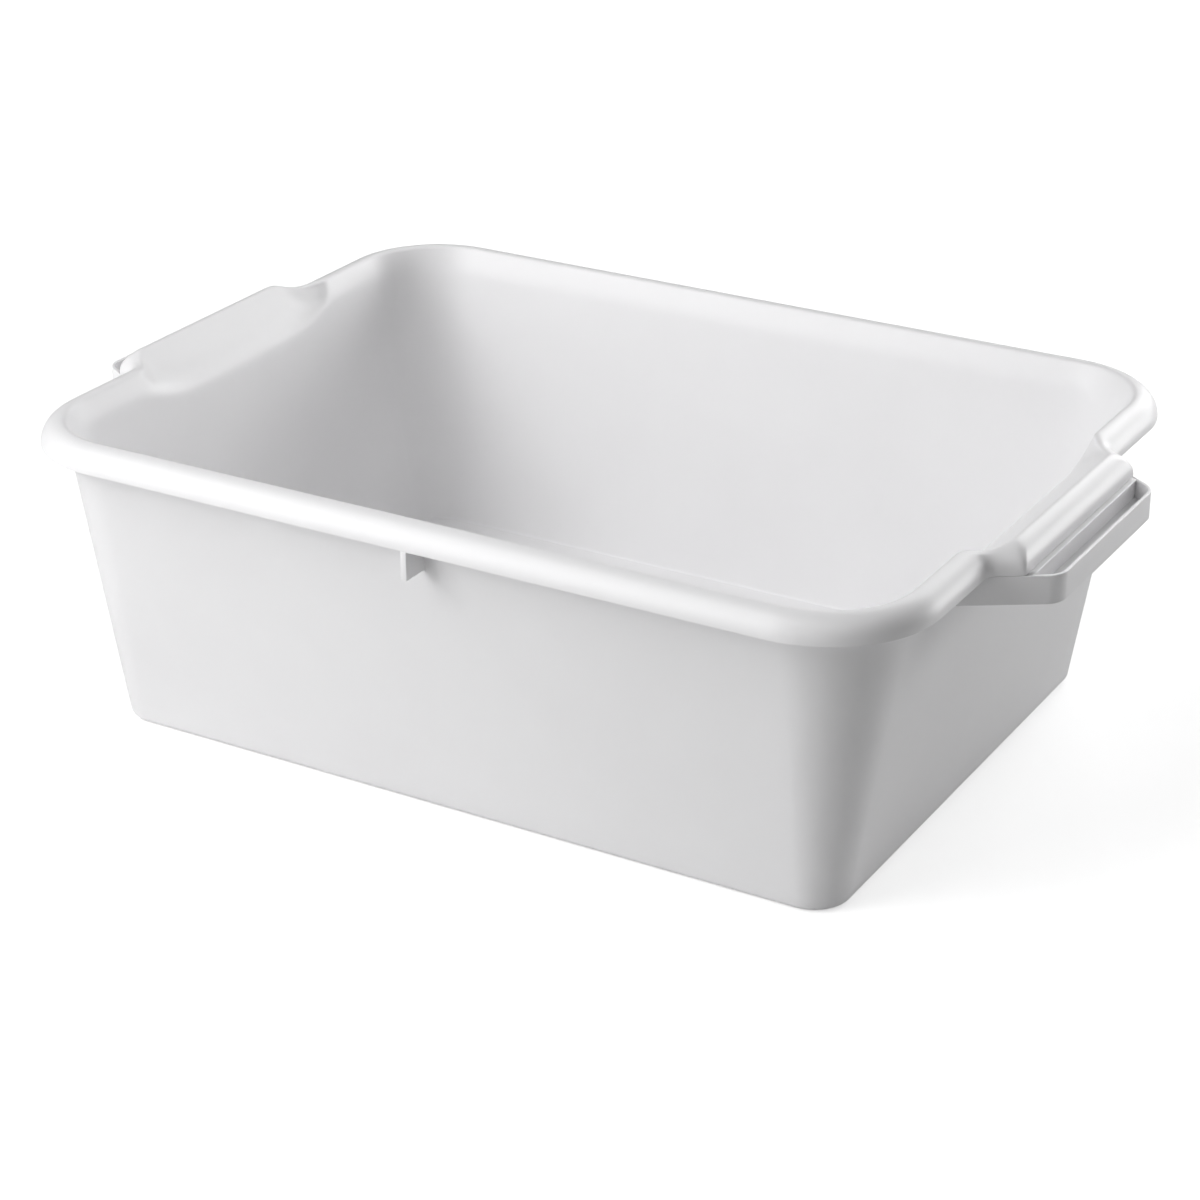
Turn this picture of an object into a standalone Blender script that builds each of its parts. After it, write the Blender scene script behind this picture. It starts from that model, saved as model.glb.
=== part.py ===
"""Bus tub: a deep moulded tray with drafted walls, whose rolled rim swells into a grip saddle at each end.

Under each saddle a strap loops out to make the carrying handle, and a small rib stiffens the middle of each
long rim. Metres, Z up. The tub stands on Z = 0, its base centred on the origin, and X runs along it.
"""

import math

import bmesh
import bpy
from mathutils import Matrix

# Rim: its outer width and corners, the height of its top, and its rolled section
RIM_WIDTH = 0.413
RIM_CORNER_RADIUS = 0.064
RIM_HEIGHT = 0.1825
RIM_DEPTH = 0.0136
RIM_BAND = 0.0163
RIM_OUTER_ROUND = 0.013
RIM_INNER_ROUND = 0.006
CREST_ROUND = 0.0035

# Basin: the outline of its base, its skin and the fillet round its floor
BASE_LENGTH = 0.4590
BASE_WIDTH = 0.3354
BASE_CORNER_RADIUS = 0.022
SKIN = 0.0025
FLOOR_FILLET = 0.0015

# Grip saddle: how far its lip stands out and its crest rises beyond the rim, its section, the lengths of its
# lip and of its inner shoulder, each with the run-out at either end, and the sink of the bead in the run-out
GRIP_BULGE = 0.0159
GRIP_RISE = 0.0013
GRIP_OUTER_ROUND = 0.013
GRIP_CREST_INSET = 0.0095
GRIP_SHOULDER_ROUND = 0.0165
GRIP_SHOULDER_DROP = 0.0105
GRIP_LIP_LENGTH = 0.150
GRIP_LIP_RUNOUT = 0.0102
GRIP_SHOULDER_LENGTH = 0.096
GRIP_SHOULDER_RUNOUT = 0.023
GRIP_END_DIP = 0.0031
CREST_SPREAD_SHARE = 1.5

# Handle loop: the length over both loops, the strap, and the slot inside it with its ledge and its pocket
LOOP_SPAN = 0.6034
SLOT_WIDTH = 0.0109
STRAP_DEPTH = 0.016
STRAP_THICKNESS = 0.002
STRAP_BEND_RADIUS = 0.014
LEDGE_WIDTH = 0.0029
POCKET_DEPTH = 0.0100

# Stacking rib under the middle of each long rim
RIB_THICKNESS = 0.0036
RIB_DEPTH = 0.016
RIB_FILLET = 0.002

# The rim's length is what the loop, its slot, its ledge and the saddle leave of the span at either end
RIM_LENGTH = LOOP_SPAN - 2 * (STRAP_THICKNESS + SLOT_WIDTH + LEDGE_WIDTH + GRIP_BULGE)

# Gap between neighbouring solids, the reach within which points are one, and how far a trimmed end runs on
GAP = 0.0003
WELD_REACH = 0.00003
OVERRUN = 0.006

# Smoothness of the curved stretches, and the sharpest angle that is shaded as a round
CORNER_STEPS = 12
ROUND_STEPS = 6
CREST_STEPS = 2
SHOULDER_STEPS = 5
FILLET_STEPS = 3
BEND_STEPS = 6
STATION_STEPS = (1, 4, 3, 4, 1)
CREST_ROW = 1 + ROUND_STEPS + CREST_STEPS
ROUND_ANGLE = math.radians(40)

PLASTIC_COLOUR = (0.90, 0.90, 0.91, 1.0)
PLASTIC_ROUGHNESS = 0.35


def skirt_height():
    """Height of the lower edge of the rim's skirt above the base."""
    return RIM_HEIGHT - RIM_DEPTH


def lean(rim_size, base_size):
    """Angle of a wall from the vertical, from the rim's shoulder to the base, along or across the tub."""
    spread = (rim_size - base_size) / 2 - (RIM_BAND - SKIN)
    return math.atan2(spread, RIM_HEIGHT - RIM_INNER_ROUND)


def arc(centre, radius, start, end, steps):
    """Points (inset, height) on an arc, whose angle runs up from the outward horizontal and over the top."""
    angles = [start + (end - start) * step / steps for step in range(steps + 1)]
    return [(centre[0] - radius * math.cos(a), centre[1] + radius * math.sin(a)) for a in angles]


def crossing_angles(outer, outer_radius, inner, inner_radius):
    """Angles on two arcs at the upper point where they cross, each from its own outward horizontal."""
    across, up = inner[0] - outer[0], inner[1] - outer[1]
    apart = math.hypot(across, up)
    along = (outer_radius ** 2 - inner_radius ** 2 + apart ** 2) / (2 * apart)
    half = math.sqrt(outer_radius ** 2 - along ** 2)
    crossings = []
    for side in (half, -half):
        crossings.append((outer[1] + (along * up - side * across) / apart,
                          outer[0] + (along * across + side * up) / apart))
    height, inset = max(crossings)
    return (math.atan2(height - outer[1], outer[0] - inset), math.atan2(height - inner[1], inner[0] - inset))


def rim_section(depth_below, wall_lean):
    """Rim section from skirt to inner wall, as (inset from the outer plan, height above the skirt's edge).

    An outer round and an inner round meet at the crest, which has a small round of its own. depth_below is
    the distance below the show surface: zero draws that surface, and the skin's thickness its back.
    """
    outer = (RIM_OUTER_ROUND, RIM_DEPTH - RIM_OUTER_ROUND)
    inner = (RIM_BAND - RIM_INNER_ROUND, RIM_DEPTH - RIM_INNER_ROUND)
    crest_depth = max(depth_below, CREST_ROUND)
    outer_reach = RIM_OUTER_ROUND - crest_depth
    outer_end, inner_start = crossing_angles(outer, outer_reach, inner, RIM_INNER_ROUND - crest_depth)
    rise = arc(outer, RIM_OUTER_ROUND - depth_below, 0.0, outer_end, ROUND_STEPS)
    if depth_below < CREST_ROUND:
        centre = arc(outer, outer_reach, outer_end, outer_end, 1)[0]
        rise += arc(centre, CREST_ROUND - depth_below, outer_end, inner_start, CREST_STEPS)[1:]
    fall = arc(inner, RIM_INNER_ROUND - depth_below, inner_start, math.pi - wall_lean, SHOULDER_STEPS)
    return [(depth_below, 0.0)] + rise + fall[1:]


def wall_inset(height, wall_lean):
    """Inset of the show side of a wall at a height above the skirt's edge."""
    touch = rim_section(0.0, wall_lean)[-1]
    return touch[0] + (touch[1] - height) * math.tan(wall_lean)


def grip_section(wall_lean):
    """Saddle section: lip, outer round, crest, ramp down into the tub and a broad shoulder onto the wall.

    It has as many points as the rim's section, so that one can be blended into the other.
    """
    outer = (GRIP_OUTER_ROUND - GRIP_BULGE, RIM_DEPTH + GRIP_RISE - GRIP_OUTER_ROUND)
    outer_end = math.acos((GRIP_OUTER_ROUND - GRIP_CREST_INSET) / GRIP_OUTER_ROUND)
    rise = arc(outer, GRIP_OUTER_ROUND, 0.0, outer_end, ROUND_STEPS)
    crest = arc(outer, GRIP_OUTER_ROUND - CREST_ROUND, outer_end, outer_end, 1)[0]
    height = -GRIP_SHOULDER_DROP
    shoulder = (wall_inset(height, wall_lean) - GRIP_SHOULDER_ROUND / math.cos(wall_lean), height)
    across, up = shoulder[0] - crest[0], crest[1] - shoulder[1]
    ramp = math.atan2(up, across) + math.acos((GRIP_SHOULDER_ROUND - CREST_ROUND) / math.hypot(across, up))
    rise += arc(crest, CREST_ROUND, outer_end, ramp, CREST_STEPS)[1:]
    fall = arc(shoulder, GRIP_SHOULDER_ROUND, ramp, math.pi - wall_lean, SHOULDER_STEPS - 1)
    return [(-GRIP_BULGE, 0.0)] + rise + fall


def row_places(row, rows):
    """Shares of the way that a row of the section lies up the bead to its crest, and on down to the wall."""
    rise = min(max(row - 1, 0) / (CREST_ROW - 1), 1.0)
    fall = max(row - CREST_ROW, 0) / (rows - 1 - CREST_ROW)
    return rise, fall


def grip_run(row, rows, inset):
    """Middle and half length of a row's change from the rim to the saddle, for a row from lip to shoulder.

    The rolled bead turns out and back along the lip's plan as round two mitred corners, so that a row's
    corners lie nearer the tub's middle the further it is set in, and are spread more the higher it is. Past
    the crest the change widens to that of the inner shoulder.
    """
    rise, fall = row_places(row, rows)
    mitre = math.tan(math.atan2(GRIP_BULGE, GRIP_LIP_RUNOUT) / 2)
    middle = GRIP_LIP_LENGTH / 2 + GRIP_LIP_RUNOUT / 2 - mitre * (inset + GRIP_BULGE)
    half = GRIP_LIP_RUNOUT / 2 * (1 + rise * (CREST_SPREAD_SHARE - 1))
    shoulder_middle = (GRIP_SHOULDER_LENGTH + GRIP_SHOULDER_RUNOUT) / 2
    return middle + fall * (shoulder_middle - middle), half + fall * (GRIP_SHOULDER_RUNOUT / 2 - half)


def grip_share(row, rows, inset, station):
    """Share of the saddle in a row of the section, at a distance from the tub's middle."""
    rise, fall = row_places(row, rows)
    middle, half = grip_run(row, rows, inset)
    share = min(max((middle + half - abs(station)) / (2 * half), 0.0), 1.0)
    return share + rise * (share * share * (3 - 2 * share) - share)


def end_dip(row, rows, share):
    """How far a row sinks midway between rim and saddle, which is most at the crest."""
    rise, fall = row_places(row, rows)
    return GRIP_END_DIP * rise * (1 - fall) * 4 * share * (1 - share)


def grip_stations(rows, crest_inset):
    """Distances from the tub's middle of the lines across the saddle, closest where the sections change."""
    edge = GRIP_LIP_LENGTH / 2 + GRIP_LIP_RUNOUT
    lip = GRIP_LIP_LENGTH / 2
    middle, half = grip_run(CREST_ROW, rows, crest_inset)
    shoulder = GRIP_SHOULDER_LENGTH / 2
    marks = [edge + GRIP_LIP_RUNOUT, edge, lip, middle - half, shoulder, 0.0]
    stations = []
    for start, end, count in zip(marks, marks[1:], STATION_STEPS):
        stations += [start + (end - start) * step / count for step in range(count)]
    return stations + [0.0]


def quarter_outline(half_length, half_width, radius, stations):
    """Quarter of a rounded rectangle, from the middle of its long side round to the middle of its end."""
    points = [(0.0, half_width)]
    for step in range(CORNER_STEPS + 1):
        angle = math.pi / 2 * (1 - step / CORNER_STEPS)
        across = half_length - radius + radius * math.cos(angle)
        points.append((across, half_width - radius + radius * math.sin(angle)))
    return points + [(half_length, station) for station in stations]


def show_surface_rows():
    """Rows of a quarter of the show surface, from the rim's skirt over the top and down to the floor."""
    end_lean = lean(RIM_LENGTH, BASE_LENGTH)
    rim = rim_section(0.0, end_lean)
    grip = grip_section(end_lean)
    crest_inset = grip[CREST_ROW][0]
    stations = grip_stations(len(grip), crest_inset)
    rows = []
    for row, ((inset, height), (grip_inset, grip_height)) in enumerate(zip(rim, grip)):
        radius = RIM_CORNER_RADIUS - inset
        plan = quarter_outline(RIM_LENGTH / 2 - inset, RIM_WIDTH / 2 - inset, radius, stations)
        points = [(x, y, skirt_height() + height) for x, y in plan[:-len(stations)]]
        for station in stations:
            share = grip_share(row, len(rim), min(grip_inset, crest_inset), station)
            blend_inset = inset + share * (grip_inset - inset)
            blend_height = height + share * (grip_height - height) - end_dip(row, len(rim), share)
            points.append((RIM_LENGTH / 2 - blend_inset, station, skirt_height() + blend_height))
        rows.append(points)
    for step in range(FILLET_STEPS + 1):
        angle = end_lean + (math.pi / 2 - end_lean) * step / FILLET_STEPS
        inset = SKIN + FLOOR_FILLET * (1 - math.cos(angle))
        height = SKIN + FLOOR_FILLET * (1 - math.sin(angle))
        radius = BASE_CORNER_RADIUS - inset
        plan = quarter_outline(BASE_LENGTH / 2 - inset, BASE_WIDTH / 2 - inset, radius, stations)
        rows.append([(x, y, height) for x, y in plan])
    return rows


def make_collection(name):
    collection = bpy.data.collections.new(name)
    bpy.context.scene.collection.children.link(collection)
    return collection


def make_plastic(name):
    """White satin plastic, one material for each piece."""
    material = bpy.data.materials.new(name)
    material.use_nodes = True
    surface = material.node_tree.nodes["Principled BSDF"]
    surface.inputs["Base Color"].default_value = PLASTIC_COLOUR
    surface.inputs["Roughness"].default_value = PLASTIC_ROUGHNESS
    surface.inputs["Metallic"].default_value = 0.0
    return material


def make_object(name, mesh, collection):
    piece = bpy.data.objects.new(name, mesh)
    collection.objects.link(piece)
    return piece


def finish(piece, parent):
    """Gives a piece its plastic, smooth shading up to its sharp edges, and its parent."""
    piece.data.materials.append(make_plastic(piece.name + "_plastic"))
    piece.data.shade_smooth()
    piece.data.set_sharp_from_angle(angle=ROUND_ANGLE)
    piece.parent = parent


def extruded(name, outline, low, high, collection):
    """Closed solid made of a flat outline in X and Y, drawn up from one height to another."""
    curve = bpy.data.curves.new(name, "CURVE")
    curve.dimensions = "2D"
    curve.fill_mode = "BOTH"
    curve.extrude = (high - low) / 2
    spline = curve.splines.new("POLY")
    spline.points.add(len(outline) - 1)
    for point, (x, y) in zip(spline.points, outline):
        point.co = (x, y, 0.0, 1.0)
    spline.use_cyclic_u = True
    guide = make_object(name + "_outline", curve, collection)
    mesh = bpy.data.meshes.new_from_object(guide.evaluated_get(bpy.context.evaluated_depsgraph_get()))
    mesh.name = name
    mesh.transform(Matrix.Translation((0.0, 0.0, (low + high) / 2)))
    bpy.data.objects.remove(guide)
    body = bmesh.new()
    body.from_mesh(mesh)
    bmesh.ops.remove_doubles(body, verts=body.verts, dist=WELD_REACH)
    bmesh.ops.recalc_face_normals(body, faces=body.faces)
    body.to_mesh(mesh)
    body.free()
    return make_object(name, mesh, collection)


def hide_as_tool(piece):
    piece.hide_render = True
    piece.display_type = "WIRE"


def combine(piece, tool, operation):
    modifier = piece.modifiers.new(tool.name, "BOOLEAN")
    modifier.operation = operation
    modifier.solver = "EXACT"
    modifier.object = tool


def make_shell(parts, parent):
    """The moulded tray: a quarter of its show surface, mirrored twice and given its skin."""
    rows = show_surface_rows()
    body = bmesh.new()
    grid = [[body.verts.new(point) for point in row] for row in rows]
    for upper, lower in zip(grid, grid[1:]):
        for index in range(len(upper) - 1):
            body.faces.new((upper[index], lower[index], lower[index + 1], upper[index + 1]))
    centre = body.verts.new((0.0, 0.0, SKIN))
    body.faces.new(grid[-1][::-1] + [centre])
    mesh = bpy.data.meshes.new("tub_shell")
    body.to_mesh(mesh)
    body.free()
    shell = make_object("tub_shell", mesh, parts)
    mirror = shell.modifiers.new("both_halves", "MIRROR")
    mirror.use_axis = (True, True, False)
    mirror.merge_threshold = WELD_REACH
    skin = shell.modifiers.new("skin", "SOLIDIFY")
    skin.thickness = SKIN
    skin.offset = -1.0
    skin.use_even_offset = True
    skin.use_quality_normals = True
    finish(shell, parent)
    return shell


def basin_outline(height, clearance):
    """Whole outline of the basin's walls at a height above the base, kept clear of them by a distance."""
    top = RIM_HEIGHT - RIM_INNER_ROUND
    share = height / top
    half_length = BASE_LENGTH / 2 + share * (RIM_LENGTH / 2 - RIM_BAND + SKIN - BASE_LENGTH / 2) + clearance
    half_width = BASE_WIDTH / 2 + share * (RIM_WIDTH / 2 - RIM_BAND + SKIN - BASE_WIDTH / 2) + clearance
    top_radius = RIM_CORNER_RADIUS - RIM_BAND + SKIN
    radius = BASE_CORNER_RADIUS + share * (top_radius - BASE_CORNER_RADIUS) + clearance
    quarter = quarter_outline(half_length, half_width, radius, [0.0])
    half = quarter + [(x, -y) for x, y in quarter[-2::-1]]
    return half + [(-x, y) for x, y in half[-2:0:-1]]


def make_basin_tool(tools):
    """Block the size of the basin with the gap added, which trims the straps to the drafted walls."""
    body = bmesh.new()
    rings = []
    for height in (0.0, RIM_HEIGHT - RIM_INNER_ROUND):
        rings.append([body.verts.new((x, y, height)) for x, y in basin_outline(height, GAP)])
    count = len(rings[0])
    for index in range(count):
        following = (index + 1) % count
        body.faces.new((rings[0][index], rings[0][following], rings[1][following], rings[1][index]))
    body.faces.new(rings[0])
    body.faces.new(rings[1])
    bmesh.ops.recalc_face_normals(body, faces=body.faces)
    mesh = bpy.data.meshes.new("basin_tool")
    body.to_mesh(mesh)
    body.free()
    tool = make_object("basin_tool", mesh, tools)
    hide_as_tool(tool)
    return tool


def strap_line(depth_in):
    """Half of the strap's plan from the tub's wall out to its middle, at a distance in from its outer face.

    Its slanted run is flush with the saddle's run-out, and a bend joins it to the straight run.
    """
    slope = math.atan2(GRIP_LIP_RUNOUT, GRIP_BULGE)
    lip_x = RIM_LENGTH / 2 + GRIP_BULGE
    shift = depth_in / math.cos(slope)
    reach = LOOP_SPAN / 2 - depth_in
    radius = STRAP_BEND_RADIUS - depth_in

    def slanted_y(x):
        return GRIP_LIP_LENGTH / 2 + (lip_x - x) * math.tan(slope) - shift

    start_x = RIM_LENGTH / 2 - RIM_BAND - OVERRUN
    turn = math.pi / 2 - slope
    bend_y = slanted_y(reach) - radius * math.tan(turn / 2)
    points = [(start_x, slanted_y(start_x))]
    for step in range(BEND_STEPS + 1):
        angle = turn * (1 - step / BEND_STEPS)
        points.append((reach - radius + radius * math.cos(angle), bend_y + radius * math.sin(angle)))
    return points


def plate_outline(line, back_x, front_x):
    """Whole outline of a plate between two places along X, whose ends follow a half line of the strap."""

    def line_y(x):
        for (near_x, near_y), (far_x, far_y) in zip(line, line[1:]):
            if x <= far_x:
                return near_y + (x - near_x) * (far_y - near_y) / (far_x - near_x)
        return line[-1][1]

    half = [(back_x, line_y(back_x))]
    half += [point for point in line if back_x < point[0] < front_x]
    half.append((front_x, line_y(front_x)))
    return half + [(x, -y) for x, y in half[::-1]]


def make_handle_loop(name, side, basin_tool, parts, tools, parent):
    """Strap that leaves the wall under the saddle's ends, with the ledge, web and floor of its pocket."""
    outer = strap_line(0.0)
    inner = strap_line(STRAP_THICKNESS)
    middle = strap_line(STRAP_THICKNESS / 2)
    outer_half = outer + [(x, -y) for x, y in outer[::-1]]
    inner_half = inner + [(x, -y) for x, y in inner[::-1]]
    top = skirt_height() - GAP
    floor_top = top - POCKET_DEPTH
    outline = outer_half + inner_half[::-1]
    loop = extruded(name, outline, skirt_height() - STRAP_DEPTH, top, parts)
    lip_x = RIM_LENGTH / 2 + GRIP_BULGE
    slot_x = lip_x + LEDGE_WIDTH
    plates = (
        ("ledge", lip_x - SKIN, slot_x - SKIN / 2, top - SKIN, top),
        ("web", slot_x - SKIN, slot_x, floor_top - SKIN, top),
        ("pocket_floor", slot_x - SKIN / 2, middle[-1][0], floor_top - SKIN, floor_top),
    )
    for label, back_x, front_x, low, high in plates:
        tool = extruded(f"{name}_{label}", plate_outline(middle, back_x, front_x), low, high, tools)
        hide_as_tool(tool)
        combine(loop, tool, "UNION")
        tool.parent = loop
    combine(loop, basin_tool, "DIFFERENCE")
    weld = loop.modifiers.new("weld", "WELD")
    weld.merge_threshold = WELD_REACH
    finish(loop, parent)
    if side < 0:
        loop.rotation_euler.z = math.pi
    return loop


def rib_outline():
    """Rib as (inset from the rim's outer plan, height above the skirt's edge).

    Its outer edge is flush with the skirt below it, and above the skirt's edge the rib fills the rolled rim.
    """
    side_lean = lean(RIM_WIDTH, BASE_WIDTH)
    clear = SKIN + GAP
    channel = rim_section(clear, side_lean)

    def wall(height):
        return wall_inset(height, side_lean) - clear / math.cos(side_lean)

    points = [(0.0, -RIB_DEPTH), (0.0, -GAP), (clear, -GAP)] + channel[1:]
    points.append((wall(-RIB_DEPTH - RIB_FILLET), -RIB_DEPTH - RIB_FILLET))
    centre_inset = wall(-RIB_DEPTH) - RIB_FILLET
    for step in range(1, FILLET_STEPS + 1):
        angle = math.pi / 2 * step / FILLET_STEPS
        inset = centre_inset + RIB_FILLET * math.cos(angle)
        points.append((inset, -RIB_DEPTH - RIB_FILLET + RIB_FILLET * math.sin(angle)))
    return points


def make_rib(name, side, parts, parent):
    """Flat rib across the underside of the long rim, standing on the tub's middle plane."""
    rib = extruded(name, rib_outline(), -RIB_THICKNESS / 2, RIB_THICKNESS / 2, parts)
    rib.rotation_euler = (math.pi / 2, 0.0, -side * math.pi / 2)
    rib.location = (0.0, side * RIM_WIDTH / 2, skirt_height())
    finish(rib, parent)
    return rib


def build():
    for leftover in list(bpy.data.objects):
        bpy.data.objects.remove(leftover)
    parts = make_collection("bus_tub")
    tools = make_collection("bus_tub_tools")
    frame = bpy.data.objects.new("bus_tub_frame", None)
    parts.objects.link(frame)
    make_shell(parts, frame)
    basin_tool = make_basin_tool(tools)
    make_handle_loop("right_handle_loop", 1, basin_tool, parts, tools, frame)
    make_handle_loop("left_handle_loop", -1, basin_tool, parts, tools, frame)
    make_rib("front_rim_rib", -1, parts, frame)
    make_rib("back_rim_rib", 1, parts, frame)


build()
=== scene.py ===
"""Looks of the bus tub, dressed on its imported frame. Metres, Z up, the tub standing on Z = 0."""

import math

import bpy
import numpy as np
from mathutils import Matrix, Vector


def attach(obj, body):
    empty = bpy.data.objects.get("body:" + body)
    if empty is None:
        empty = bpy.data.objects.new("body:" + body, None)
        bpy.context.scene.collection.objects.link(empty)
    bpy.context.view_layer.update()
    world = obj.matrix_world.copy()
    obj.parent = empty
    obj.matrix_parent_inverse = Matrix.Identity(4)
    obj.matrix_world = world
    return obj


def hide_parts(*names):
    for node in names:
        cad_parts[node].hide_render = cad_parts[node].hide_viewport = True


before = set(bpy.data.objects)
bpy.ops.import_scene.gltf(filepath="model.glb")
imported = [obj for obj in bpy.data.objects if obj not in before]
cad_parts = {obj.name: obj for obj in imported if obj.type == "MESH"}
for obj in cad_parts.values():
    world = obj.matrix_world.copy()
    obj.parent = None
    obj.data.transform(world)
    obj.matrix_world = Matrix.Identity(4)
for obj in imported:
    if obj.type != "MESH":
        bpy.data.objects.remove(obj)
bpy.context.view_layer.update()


# The tray. It is one skin of white polypropylene, moulded in a single shot, 2.5 mm thick and up to
# 4.4 mm where the walls start. Four drafted walls run up into a rolled rim, and at each end the rim
# swells into a saddle that the hand closes over.
rim_half_length = 0.2700
rim_half_width = 0.2065
rim_corner = 0.064
rim_top = 0.1825
rim_depth = 0.0136
skirt = rim_top - rim_depth
skin = 0.0025
lip_round = 0.0005
base_half_length = 0.2295
base_half_width = 0.1677
base_corner = 0.022
floor_fillet = 0.0015

# The rim's section, as insets from the rim's outline and drops below the skirt's lower edge. The
# inner wall's plane passes through the wall's inset and drop.
rim_round = 0.013
rim_crest_inset = 0.012
rim_shoulder_round = 0.040
rim_shoulder_drop = 0.010
crest_round = 0.0031
wall_inset = 0.0200
wall_drop = 0.0040
wall_top_skin = 0.0044
wall_lean = math.atan2(rim_half_length - base_half_length - (wall_inset - skin),
                       skirt - wall_drop - skin - floor_fillet)

# The saddle's section bulges out past the rim's and rises above it.
saddle_bulge = 0.0159
saddle_rise = 0.00126
saddle_round = 0.013
saddle_crest_inset = 0.0095
saddle_shoulder_round = 0.031
saddle_shoulder_drop = 0.0194

# The run-outs, where the rim goes over into the saddle. The lip is the saddle's outermost edge. The
# rounds are shares of a run-out's length, and so is how far ahead the crest sets off. The spreads
# say how fast a run-out grows longer towards the crest, and from there towards the shoulder.
lip_length = 0.150
lip_runout = 0.0102
shoulder_middle = 0.066
shoulder_half = 0.022
end_dip = 0.0030
skirt_foot, skirt_head = 0.34, 0.12
crest_foot, crest_head = 0.44, 0.34
crest_ahead = 0.3
crest_spread = 2.0
shoulder_spread = 1.4

# How fine the tray's grid is. The columns of a run-out start before its foot and end past its head,
# in shares of its length, and the bead's rows are counted for the outer round, the crest, the ramp
# and the shoulder.
side_columns = 16
corner_columns = 30
edge_columns = 8
runout_columns = 56
runout_start, runout_end = -0.7, 1.5
saddle_columns = 10
bead_rows = (16, 6, 9, 20)
wall_rows = 12
fillet_rows = 9
floor_rings = (0.98, 0.85, 0.6, 0.3, 0.1)
lip_steps = 6


def line_of(start, stretches):
    """Runs at the stretches' ends, then run, inset, height and heading along a line of stretches.

    The line starts straight up, and a stretch is a length and the angle that it turns through. The
    line adds up small steps, each along the cosine and the sine of the heading halfway through it.
    """
    length, turn = np.array(stretches).T
    ends = np.concatenate(((0.0,), np.cumsum(length)))
    headings = math.pi / 2 - np.concatenate(((0.0,), np.cumsum(turn)))
    fine_steps = 4000
    run = np.union1d(np.linspace(0.0, ends[-1], fine_steps + 1), ends)
    halfway = np.interp((run[1:] + run[:-1]) / 2, ends, headings)
    inset = start[0] + np.concatenate(((0.0,), np.cumsum(np.diff(run) * np.cos(halfway))))
    height = start[1] + np.concatenate(((0.0,), np.cumsum(np.diff(run) * np.sin(halfway))))
    return ends, (run, inset, height, np.interp(run, ends, headings))


def bead_line(bulge, rise, outer_round, crest_inset, shoulder_round, shoulder_drop):
    """Section of the rim or of a saddle: outer round, crest round, straight ramp, then shoulder.

    The ramp touches the crest's circle and the shoulder's, and the shoulder ends where its circle
    touches the wall's plane.
    """
    outer = (outer_round - bulge, rim_depth + rise - outer_round)
    outer_end = math.acos((outer_round - crest_inset) / outer_round)
    reach = outer_round - crest_round
    crest = (outer[0] - reach * math.cos(outer_end), outer[1] + reach * math.sin(outer_end))
    wall_place = wall_inset + (shoulder_drop - wall_drop) * math.tan(wall_lean)
    across = wall_place - shoulder_round / math.cos(wall_lean) - crest[0]
    up = crest[1] + shoulder_drop
    apart = math.hypot(across, up)
    ramp = math.atan2(up, across) + math.acos((shoulder_round - crest_round) / apart)
    wall = math.pi - wall_lean
    return line_of((-bulge, outer[1]), (
        (outer_round * outer_end, outer_end), (crest_round * (ramp - outer_end), ramp - outer_end),
        (math.sqrt(apart ** 2 - (shoulder_round - crest_round) ** 2), 0.0),
        (shoulder_round * (wall - ramp), wall - ramp)))


def drawn_in(line, place, depth):
    """Insets and heights at places along a line, drawn in square to it by a depth."""
    run, inset, height, heading = line
    heading = np.interp(place, run, heading)
    return (np.interp(place, run, inset) + depth * np.sin(heading),
            np.interp(place, run, height) - depth * np.cos(heading))


# Rows along the rim, and the places on the saddle that they go over to. The ends of the two lines'
# stretches belong together, and each place is averaged over 2 mm to either side, so that no crease
# is left. Both lines go on evenly beyond their ends, so that the average has places there.
average_reach = 0.002
average_steps = 40
beyond = 0.01
rim_ends, rim = bead_line(0.0, 0.0, rim_round, rim_crest_inset, rim_shoulder_round, rim_shoulder_drop)
saddle_ends, saddle = bead_line(saddle_bulge, saddle_rise, saddle_round, saddle_crest_inset,
                                saddle_shoulder_round, saddle_shoulder_drop)
rim_place = np.concatenate([np.linspace(rim_ends[k], rim_ends[k + 1], rows, endpoint=False)
                            for k, rows in enumerate(bead_rows)] + [rim_ends[-1:]])
shoulder_rate = (saddle_ends[-1] - saddle_ends[-2]) / (rim_ends[-1] - rim_ends[-2])
knots = np.concatenate(((-beyond,), rim_ends, (rim_ends[-1] + beyond,)))
matches = np.concatenate(((-beyond,), saddle_ends, (saddle_ends[-1] + shoulder_rate * beyond,)))
window = np.linspace(-average_reach, average_reach, average_steps + 1)
saddle_place = np.interp(rim_place[:, None] + window, knots, matches).mean(axis=1)
saddle_place[0], saddle_place[-1] = 0.0, saddle_ends[-1]
crest_end, wall_start = saddle_ends[2], saddle_ends[-1]
rise_share = np.clip(saddle_place / crest_end, 0.0, 1.0)
fall_share = np.clip((saddle_place - crest_end) / (wall_start - crest_end), 0.0, 1.0)


def rounded_ramp(t, foot, head):
    """Ramp from 0 at t = 0 to 1 at t = 1, with a parabola round its foot and one round its head."""
    lower = np.clip(t + foot, 0.0, 2 * foot) ** 2 / (4 * foot) + np.maximum(t - foot, 0.0)
    upper = np.clip(t - 1 + head, 0.0, 2 * head) ** 2 / (4 * head) + np.maximum(t - 1 - head, 0.0)
    return lower - upper


def plan(half_length, half_width, radius, end_y):
    """A quarter of rounded rectangles, one a row: long side, corner arc, then the end's places."""
    half_length, half_width, radius = (np.reshape(size, (-1, 1))
                                       for size in (half_length, half_width, radius))
    side = np.linspace(0.0, 1.0, side_columns, endpoint=False)
    angle = math.pi / 2 * (1 - np.linspace(0.0, 1.0, corner_columns, endpoint=False))
    x = np.hstack((side * (half_length - radius), half_length - radius + radius * np.cos(angle),
                   half_length + 0 * end_y))
    y = np.hstack((half_width + 0 * side, half_width - radius + radius * np.sin(angle), end_y))
    return x, y


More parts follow.
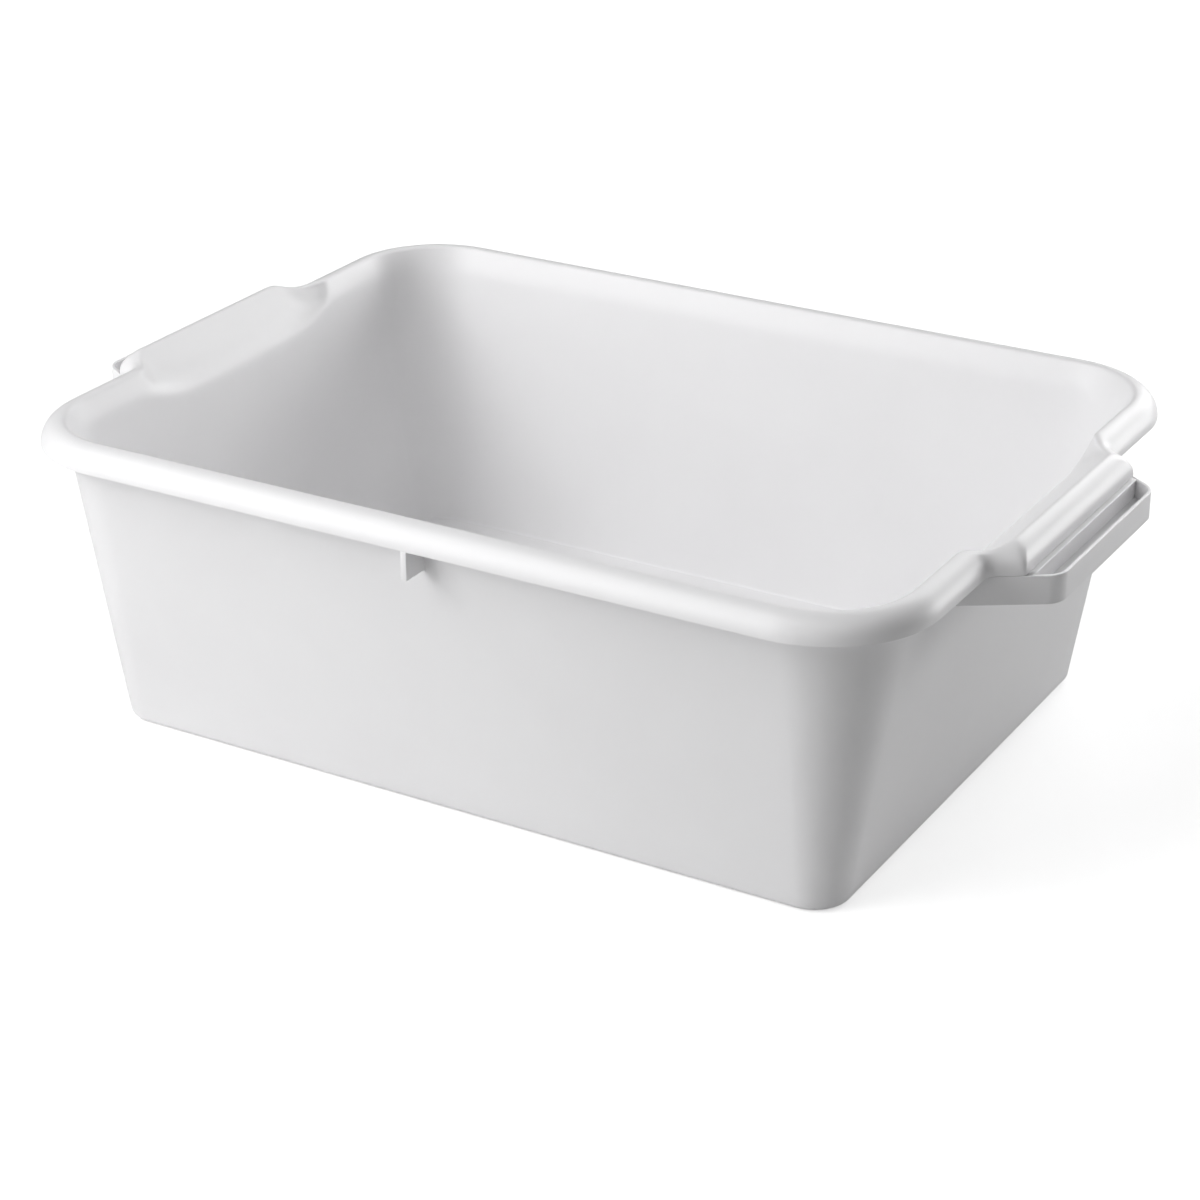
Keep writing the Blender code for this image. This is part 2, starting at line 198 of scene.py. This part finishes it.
def end_places(half_width, radius, middle, half):
    """Places across the tub of an end's columns, and how far along the run-out its own columns stand.

    They run from the corner to the run-out, along it, and on to the middle of the tub, evenly in each
    part. The run-out's foot is half its length before its middle, and its head half its length past.
    """
    middle, half = np.reshape(middle, (-1, 1)), np.reshape(half, (-1, 1))
    corner = np.reshape(half_width - radius, (-1, 1))
    t = np.linspace(runout_start, runout_end, runout_columns)
    runout = middle + half * (1 - 2 * t)
    outer = corner + (runout[:, :1] - corner) * np.linspace(0.0, 1.0, edge_columns, endpoint=False)
    inner = runout[:, -1:] * (1 - np.linspace(0.0, 1.0, saddle_columns + 1)[1:])
    return np.hstack((outer, runout, inner)), t


def swept_rows(inset, height, swell_inset, swell_height, rise, fall):
    """Rows of a quarter of the rolled rim. At the end each goes from the rim's place to the saddle's.

    Rise goes from 0 at the skirt to 1 at the crest, fall from 0 at the crest to 1 at the wall. The
    run-out's middle follows the bead round two mitred corners, and from the crest it moves in to the
    shoulder's. The way over is a rounded ramp at the skirt, which gives way to a softer curve of the
    fifth power at the crest, and midway the bead sinks by a parabola.
    """
    mitre = math.tan(math.atan2(saddle_bulge, lip_runout) / 2)
    crest_inset = swell_inset[fall == 0.0].max()
    middle = (lip_length + lip_runout) / 2 - mitre * (np.minimum(swell_inset, crest_inset) + saddle_bulge)
    half = lip_runout / 2 * (1 + crest_spread * rise * rise)
    middle = middle + fall * (2 - fall) * (shoulder_middle - middle)
    half = half + fall * (shoulder_spread - (shoulder_spread - 1) * fall) * (shoulder_half - half)
    end_y, t = end_places(rim_half_width - inset, rim_corner - inset, middle, half)
    rise, fall = rise[:, None], fall[:, None]
    ramp = rounded_ramp(t, skirt_foot + (crest_foot - skirt_foot) * rise,
                        skirt_head + (crest_head - skirt_head) * rise)
    eased = np.clip((t + crest_ahead * rise) / (1 + crest_ahead * rise), 0.0, 1.0)
    eased = eased ** 3 * (10 - 15 * eased + 6 * eased * eased)
    rise, fall = (way * way * (3 - 2 * way) for way in (rise, fall))
    share = ramp + rise * (eased - ramp)
    share = np.hstack((np.zeros((len(share), edge_columns)), share, np.ones((len(share), saddle_columns))))
    x, y = plan(rim_half_length - inset, rim_half_width - inset, rim_corner - inset, end_y)
    z = np.repeat(skirt + height[:, None], x.shape[1], axis=1)
    end = slice(x.shape[1] - share.shape[1], None)
    x[:, end] -= share * (swell_inset - inset)[:, None]
    dip = end_dip * rise * (1 - fall) * 4 * share * (1 - share)
    z[:, end] += share * (swell_height - height)[:, None] - dip
    return np.dstack((x, y, z))


def tray_side(depth):
    """Quarter of one side of the tray's skin, from the skirt over the rim and down the wall to the floor.

    Depth 0 gives the inside, which is the show side, and the skin's thickness gives the outside,
    which lies deeper at the top of the walls. The walls are straight lines from the shoulder to the
    fillet round the floor, with rows set closer at either end by a cosine, and the floor is made of
    shrinking rings.
    """
    depth_here = depth * (1 + fall_share * (wall_top_skin / skin - 1))
    inset, height = drawn_in(rim, rim_place, depth_here)
    swell_inset, swell_height = drawn_in(saddle, saddle_place, depth_here)
    bead = swept_rows(inset, height, swell_inset, swell_height, rise_share, fall_share)
    end = slice(side_columns + corner_columns, None)
    angle = np.linspace(wall_lean, math.pi / 2, fillet_rows)
    reach = floor_fillet + depth
    fillet_inset = skin + floor_fillet - reach * np.cos(angle)
    fillet_height = skin + floor_fillet - reach * np.sin(angle)
    spread = (base_half_width - base_corner) / (rim_half_width - rim_corner)
    end_y = np.repeat(bead[-1:, end, 1] * spread, fillet_rows, axis=0)
    x, y = plan(base_half_length - fillet_inset, base_half_width - fillet_inset,
                base_corner - fillet_inset, end_y)
    fillet = np.dstack((x, y, np.repeat(fillet_height[:, None], x.shape[1], axis=1)))
    way = 0.5 - 0.5 * np.cos(math.pi * np.linspace(0.0, 1.0, wall_rows + 2)[1:-1])
    wall = bead[-1:] + way[:, None, None] * (fillet[:1] - bead[-1:])
    shrink = np.array(floor_rings)[:, None, None]
    floor = fillet[-1:] * np.concatenate((shrink, shrink, np.ones_like(shrink)), axis=2)
    return np.concatenate((bead, wall, fillet, floor))


def lip_rows():
    """The skirt's lower edge, from the show side round two small quarter circles to the back."""
    turn = np.linspace(0.0, math.pi / 2, lip_steps)
    depth = np.concatenate((lip_round * (1 - np.cos(turn)), skin - lip_round * (1 - np.sin(turn))))
    height = np.concatenate((lip_round * (1 - np.sin(turn)), lip_round * (1 - np.cos(turn))))
    nothing = np.zeros_like(depth)
    return swept_rows(depth, height, depth - saddle_bulge, height, nothing, nothing)


def all_round(quarter):
    """Whole rings from quarters: mirrored across the tub, and then along it."""
    half = np.concatenate((quarter, quarter[:, -2::-1] * (1, -1, 1)), axis=1)
    return np.concatenate((half, half[:, -2:0:-1] * (-1, 1, 1)), axis=1)


def make_mesh(name, points, faces):
    """Piece with smooth faces from an array of points and arrays of faces, one for each count."""
    mesh = bpy.data.meshes.new(name)
    counts = np.concatenate([np.full(len(group), group.shape[1]) for group in faces])
    corners = np.concatenate([group.ravel() for group in faces])
    mesh.vertices.add(len(points))
    mesh.vertices.foreach_set("co", np.asarray(points, dtype=np.float32).ravel())
    mesh.loops.add(len(corners))
    mesh.loops.foreach_set("vertex_index", corners.astype(np.int32))
    mesh.polygons.add(len(counts))
    mesh.polygons.foreach_set("loop_start", (np.cumsum(counts) - counts).astype(np.int32))
    mesh.update(calc_edges=True)
    mesh.shade_smooth()
    mesh.validate()
    piece = bpy.data.objects.new(name, mesh)
    bpy.context.scene.collection.objects.link(piece)
    return piece


def ring_faces(rows, columns, first_pole, last_pole):
    """Faces between closed rings of points, with a fan to a pole at either end.

    The rings run clockwise seen from above, and the faces then point out of the skin.
    """
    row = np.arange(rows - 1)[:, None] * columns
    here = np.arange(columns)[None, :]
    there = (here + 1) % columns
    quads = np.stack((row + here, row + there, row + columns + there, row + columns + here), axis=-1)
    here, there = here.ravel(), there.ravel()
    last = (rows - 1) * columns
    first_fan = np.stack((there, here, np.full(columns, first_pole)), axis=-1)
    last_fan = np.stack((last + here, last + there, np.full(columns, last_pole)), axis=-1)
    return [quads.reshape(-1, 4), first_fan, last_fan]


# The rings go from the middle of the inside up to the rim, round the skirt's edge and down to the
# middle of the underside.
inside = all_round(tray_side(0.0))[::-1]
edge = all_round(lip_rows())
outside = all_round(tray_side(skin))
rings = np.concatenate((inside, edge, outside))
points = np.concatenate((rings.reshape(-1, 3), ((0.0, 0.0, skin), (0.0, 0.0, 0.0))))
tray = make_mesh("tray", points, ring_faces(*rings.shape[:2], len(points) - 2, len(points) - 1))


class Socket:
    """A shader value that can be used in sums: each operator adds the Math node that it stands for."""

    def __init__(self, tree, output):
        self.tree, self.output = tree, output

    def node(self, kind, inputs, output=0, **settings):
        """Adds a node, sets it up, fills its inputs with values or links, and wraps one output."""
        node = self.tree.nodes.new(kind)
        for name, value in settings.items():
            setattr(node, name, value)
        for name, value in inputs.items():
            if isinstance(value, Socket):
                self.tree.links.new(value.output, node.inputs[name])
            else:
                node.inputs[name].default_value = value
        return Socket(self.tree, node.outputs[output])

    def math(self, operation, *values):
        """Adds a Math node with the operation named."""
        return self.node("ShaderNodeMath", dict(enumerate(values)), operation=operation)

    def __add__(self, other):
        return self.math("ADD", self, other)

    def __radd__(self, other):
        return self.math("ADD", other, self)

    def __sub__(self, other):
        return self.math("SUBTRACT", self, other)

    def __rsub__(self, other):
        return self.math("SUBTRACT", other, self)

    def __mul__(self, other):
        return self.math("MULTIPLY", self, other)

    def __rmul__(self, other):
        return self.math("MULTIPLY", other, self)


def plastic(name):
    """Satin polypropylene from a polished mould: clouded pigment, fine orange peel, even gloss.

    The clouds shift the colour between two whites and the roughness by a hundredth or two, and the
    peel is a bump of a few microns.
    """
    dull_white, clear_white = (0.900, 0.896, 0.905, 1.0), (0.915, 0.912, 0.920, 1.0)
    cloud_low, cloud_gain = 0.35, 3.0
    roughness, roughness_swing = 0.36, 0.08
    material = bpy.data.materials.new(name)
    material.use_nodes = True
    tree = material.node_tree
    surface = tree.nodes["Principled BSDF"]
    surface.inputs["IOR"].default_value = 1.49
    place = Socket(tree, tree.nodes.new("ShaderNodeTexCoord").outputs["Object"])
    cloud = place.node("ShaderNodeTexNoise",
                       {"Vector": place, "Scale": 14.0, "Detail": 3.0, "Roughness": 0.5})
    peel = place.node("ShaderNodeTexNoise",
                      {"Vector": place, "Scale": 700.0, "Detail": 2.0, "Roughness": 0.4})
    colour = cloud.node("ShaderNodeMix",
                        {0: (cloud - cloud_low) * cloud_gain, 6: dull_white, 7: clear_white},
                        output=2, data_type="RGBA")
    bump = peel.node("ShaderNodeBump", {"Height": peel, "Strength": 0.04, "Distance": 0.0004})
    tree.links.new(colour.output, surface.inputs["Base Color"])
    tree.links.new((roughness + (cloud - 0.5) * roughness_swing).output, surface.inputs["Roughness"])
    tree.links.new(bump.output, surface.inputs["Normal"])
    return material


tray.data.materials.append(plastic("tray_plastic"))
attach(tray, "root")
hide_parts("tub_shell")


# The handle loops. A strap 2 mm thick leaves the wall below each end of a saddle, bends round and
# runs outside it. A ledge, a web and a floor close the pocket between it and the saddle. The loops
# are moulded in one with the tray.
loop_half = 0.3017
strap_depth = 0.016
strap_thickness = 0.002
strap_bend = 0.014
strap_edge = 0.0006
ledge_width = 0.0029
web_edge = 0.0006
pocket_depth = 0.0100
pocket_floor = 0.0025
floor_start = 0.0001
slant_steps, bend_steps, straight_steps, ledge_steps = 12, 14, 10, 24
strap_edge_steps, web_edge_steps = 6, 5

# The lip's place along the tub, and how far a run-out moves across the tub for its way outwards.
lip_x = rim_half_length + saddle_bulge
runout_slope = lip_runout / saddle_bulge


def rounded_outline(corners, radius, steps):
    """Closed outline through corners, each cut off by a round of the radius drawn as a quadratic curve."""
    corners = np.asarray(corners, dtype=float)
    before = np.roll(corners, 1, axis=0) - corners
    after = np.roll(corners, -1, axis=0) - corners
    before /= np.linalg.norm(before, axis=1)[:, None]
    after /= np.linalg.norm(after, axis=1)[:, None]
    s = np.linspace(0.0, 1.0, steps)[None, :, None]
    start, end = (corners + radius * way for way in (before, after))
    curve = (1 - s) ** 2 * start[:, None] + 2 * s * (1 - s) * corners[:, None] + s ** 2 * end[:, None]
    return curve.reshape(-1, 2)


def strap_path(depth):
    """Plan of the strap at a depth in from its outer face: slanted run, bend, straight run and back.

    The slanted run starts inside the wall and lies in line with the foot of the saddle's run-out. The
    bend is an arc that touches both runs.
    """
    slope = math.atan2(lip_runout, saddle_bulge)
    turn = math.pi / 2 - slope
    reach, radius = loop_half - depth, strap_bend - depth

    def across(x):
        return lip_length / 2 + (lip_x - x) * math.tan(slope) - depth / math.cos(slope)

    bend_y = across(reach) - radius * math.tan(turn / 2)
    start_x = rim_half_length - wall_inset + wall_top_skin / 2
    angle = turn * (1 - np.linspace(0.0, 1.0, bend_steps + 1))
    bend = np.stack((reach - radius + radius * np.cos(angle), bend_y + radius * np.sin(angle)), axis=1)
    slant_x = np.linspace(start_x, bend[0, 0], slant_steps, endpoint=False)
    slanted = np.stack((slant_x, across(slant_x)), axis=1)
    straight_y = bend[-1, 1] * (1 - np.linspace(0.0, 1.0, straight_steps + 1)[1:])
    straight = np.stack((np.full(straight_steps, reach), straight_y), axis=1)
    half = np.concatenate((slanted, bend, straight))
    return np.concatenate((half, half[-2::-1] * (1, -1)))


def tube_faces(stations, around):
    """Faces of a bar: stations along it, each a closed ring of points, and a flat end at either side."""
    row = np.arange(stations - 1)[:, None] * around
    here = np.arange(around)[None, :]
    there = (here + 1) % around
    quads = np.stack((row + here, row + around + here, row + around + there, row + there), axis=-1)
    return [quads.reshape(-1, 4), here, here[:, ::-1] + (stations - 1) * around]


def strap_points():
    """The strap's section, a rounded bar 2 mm wide and 16 mm deep, carried along its plan."""
    low = skirt - strap_depth
    section = rounded_outline(((0.0, skirt), (0.0, low), (strap_thickness, low), (strap_thickness, skirt)),
                              strap_edge, strap_edge_steps)
    paths = np.stack([strap_path(depth) for depth in section[:, 0]], axis=1)
    return np.dstack((paths, np.broadcast_to(section[:, 1], paths.shape[:2])))


def ledge_points():
    """The ledge and the web below it, an angle section carried across between the strap's slanted runs."""
    back, front = lip_x - skin, lip_x + ledge_width
    low = skirt - pocket_depth - pocket_floor
    section = rounded_outline(((front, skirt), (front, low), (front - skin, low),
                               (front - skin, skirt - skin), (back, skirt - skin), (back, skirt)),
                              web_edge, web_edge_steps)
    reach = lip_length / 2 + (lip_x - section[:, 0]) * runout_slope - strap_thickness / 2
    across = np.linspace(1.0, -1.0, ledge_steps + 1)[:, None] * reach
    x, z = (np.broadcast_to(value, across.shape) for value in section.T)
    return np.dstack((x, across, z))


def floor_points():
    """The pocket's floor, a plate from the middle of the web to the middle of the strap.

    Each station has two corners on the strap's middle line and two on the web's, straight across from
    them. The first and the last stand a tenth of a millimetre off the web, so that no face shrinks to
    nothing.
    """
    web = lip_x + ledge_width - skin / 2
    first = web + floor_start
    path = strap_path(strap_thickness / 2)
    middle = len(path) // 2
    end_y = np.interp(web, path[:middle, 0], path[:middle, 1])
    path = np.concatenate((((first, end_y),), path[path[:, 0] > web], ((first, -end_y),)))
    edge = np.stack((np.full(len(path), web), path[:, 1]), axis=1)
    top = skirt - pocket_depth
    corners = np.stack((path, path, edge, edge), axis=1)
    height = np.broadcast_to((top, top - pocket_floor, top - pocket_floor, top), corners.shape[:2])
    return np.dstack((corners, height))


def loop_mesh(name, turn):
    """Mesh of a handle loop: its three bars. A turn of -1 takes it half round, to the left end."""
    points, faces, count = [], [], 0
    for bar in (strap_points(), ledge_points(), floor_points()):
        faces += [group + count for group in tube_faces(*bar.shape[:2])]
        points.append(bar.reshape(-1, 3) * (turn, turn, 1))
        count += len(points[-1])
    return make_mesh(name, np.concatenate(points), faces)


loop_plastic = plastic("handle_loop_plastic")
for turn, side in ((1, "right"), (-1, "left")):
    loop = loop_mesh(f"{side}_loop", turn)
    loop.data.materials.append(loop_plastic)
    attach(loop, "root")
    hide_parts(f"{side}_handle_loop")


# The rim's ribs. A flat rib 3.6 mm thick stands under the middle of each long rim, its outer edge
# flush with the skirt. It stiffens the rim, meets the wall in a small fillet and is moulded in one
# with the tray.
rib_thickness = 0.0036
rib_depth = 0.016
rib_fillet = 0.002
rib_fillet_steps = 8
rib_lap = 0.0002
rib_edge = 0.0005


def rib_side():
    """Outline of a rib as insets from the rim's plan and heights over the skirt's lower edge.

    It goes up the outer edge, lapping over the skirt's, then along the middle of the rim's skin down
    to the middle of the wall's, and back round a quarter circle to the rib's lower edge.
    """
    inset, height = drawn_in(rim, rim_place, skin / 2 + fall_share * (wall_top_skin - skin))
    side_lean = math.atan2(rim_half_width - base_half_width - (inset[-1] - skin / 2), skirt + height[-1])

    def wall(h):
        return inset[-1] + (height[-1] - h) * math.tan(side_lean)

    turn = np.linspace(0.0, math.pi / 2, rib_fillet_steps)
    fillet = np.stack((wall(-rib_depth) - skin / 2 - rib_fillet * (1 - np.cos(turn)),
                       -rib_depth - rib_fillet * (1 - np.sin(turn))), axis=1)
    fillet_end = (wall(-rib_depth - rib_fillet), -rib_depth - rib_fillet)
    top = np.stack((inset, height), axis=1)
    return np.concatenate((((0.0, -rib_depth), (0.0, rib_lap)), top, (fillet_end,), fillet))


def rib_mesh(name, side):
    """Mesh of a rib: its outline on either face and a band between them, with its sharp edges eased."""
    outline = rib_side()
    count = len(outline)
    x = np.repeat((-rib_thickness / 2, rib_thickness / 2), count)
    y = side * (rim_half_width - np.tile(outline[:, 0], 2))
    z = skirt + np.tile(outline[:, 1], 2)
    here = np.arange(count)
    there = (here + 1) % count
    band = np.stack((here, there, there + count, here + count), axis=-1)[:, ::side]
    cap = here[None, :]
    piece = make_mesh(name, np.stack((x, y, z), axis=1), [band, cap[:, ::-side], cap[:, ::side] + count])
    bevel = piece.modifiers.new("eased_edges", "BEVEL")
    bevel.width = rib_edge
    bevel.segments = 3
    bevel.limit_method = "ANGLE"
    bevel.angle_limit = math.radians(50)
    return piece


rib_plastic = plastic("rib_plastic")
for side, end in ((-1, "front"), (1, "back")):
    rib = rib_mesh(f"{end}_rib", side)
    rib.data.materials.append(rib_plastic)
    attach(rib, "root")
    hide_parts(f"{end}_rim_rib")


# The floor, a matt white sheet that goes on past the picture, and the white surroundings. What the
# camera sees of the sheet has a glow of its own, which grows with the distance from the tub until it
# is white. The sheet lies a little below the tub's base, so that the two share no plane.
floor_reach = 6.0
floor_gap = 0.0002
sheet_colour = (0.7, 0.7, 0.7, 1.0)
white = (1.0, 1.0, 1.0, 1.0)
near_reach, near_glow = 0.6, 0.56
far_reach, far_glow = 1.8, 1.0

floor_mesh = bpy.data.meshes.new("floor")
floor_corners = [(x * floor_reach, y * floor_reach, -floor_gap)
                 for x, y in ((-1, -1), (1, -1), (1, 1), (-1, 1))]
floor_mesh.from_pydata(floor_corners, [], [(0, 1, 2, 3)])
floor = bpy.data.objects.new("floor", floor_mesh)
bpy.context.scene.collection.objects.link(floor)
floor_material = bpy.data.materials.new("floor_sheet")
floor_material.use_nodes = True
tree = floor_material.node_tree
tree.nodes.remove(tree.nodes["Principled BSDF"])
seen = Socket(tree, tree.nodes.new("ShaderNodeLightPath").outputs["Is Camera Ray"])
place = Socket(tree, tree.nodes.new("ShaderNodeTexCoord").outputs["Object"])
away = place.node("ShaderNodeVectorMath", {0: place}, output="Value", operation="LENGTH")
glow_here = away.node("ShaderNodeMapRange", {
    "Value": away, "From Min": near_reach, "From Max": far_reach, "To Min": near_glow, "To Max": far_glow})
sheet = seen.node("ShaderNodeBsdfDiffuse", {"Color": sheet_colour})
glow = seen.node("ShaderNodeEmission", {"Color": white, "Strength": seen * glow_here})
both = seen.node("ShaderNodeAddShader", {0: sheet, 1: glow})
tree.links.new(both.output, tree.nodes["Material Output"].inputs["Surface"])
floor.data.materials.append(floor_material)

world = bpy.data.worlds.new("white_studio")
bpy.context.scene.world = world
world.use_nodes = True
tree = world.node_tree
background = tree.nodes["Background"]
background.inputs["Color"].default_value = white
seen = tree.nodes.new("ShaderNodeLightPath").outputs["Is Camera Ray"]
tree.links.new(seen, background.inputs["Strength"])


# The lamps: square soft boxes round the tub, each aimed at its middle. Two at the front left light
# the long wall and the inside, a low one at the back right lights the end with the near handle, and
# the others soften the shadows and run highlights along the rolled rim.
aim = Vector((0.0, 0.0, 0.1))


def soft_box(name, turn, height, distance, size, power):
    """Square lamp at a distance from the aim, turned round from the front (90 is the right) and up."""
    lamp = bpy.data.lights.new(name, "AREA")
    lamp.shape = "SQUARE"
    lamp.size = size
    lamp.energy = power
    turn, height = math.radians(turn), math.radians(height)
    way = Vector((math.sin(turn) * math.cos(height), -math.cos(turn) * math.cos(height), math.sin(height)))
    piece = bpy.data.objects.new(name, lamp)
    piece.location = aim + distance * way
    piece.rotation_euler = way.to_track_quat("Z", "Y").to_euler()
    bpy.context.scene.collection.objects.link(piece)


soft_box("front_left_box", 330, 20, 1.6, 1.0, 11.7)
soft_box("high_left_box", 315, 50, 2.0, 1.4, 19.6)
soft_box("high_right_box", 60, 60, 2.0, 1.4, 6.5)
soft_box("low_back_box", 140, 8, 2.0, 0.8, 12.9)
soft_box("back_box", 163, 20, 1.6, 0.8, 9.2)
soft_box("high_back_box", 180, 35, 2.0, 1.0, 6.5)


# The camera looks at the front of the tub from 30 degrees round to its right end and 25 degrees up.
camera_place = (0.7831, -1.3612, 0.7899)
azimuth, elevation = math.radians(30.02), math.radians(24.96)
camera = bpy.data.cameras.new("camera")
camera.sensor_width = 36.0
camera.lens = 89.79
camera_object = bpy.data.objects.new("camera", camera)
camera_object.location = camera_place
camera_object.rotation_euler = (math.pi / 2 - elevation, 0.0, azimuth)
bpy.context.scene.collection.objects.link(camera_object)
bpy.context.scene.camera = camera_object
bpy.context.scene.view_settings.view_transform = "Standard"
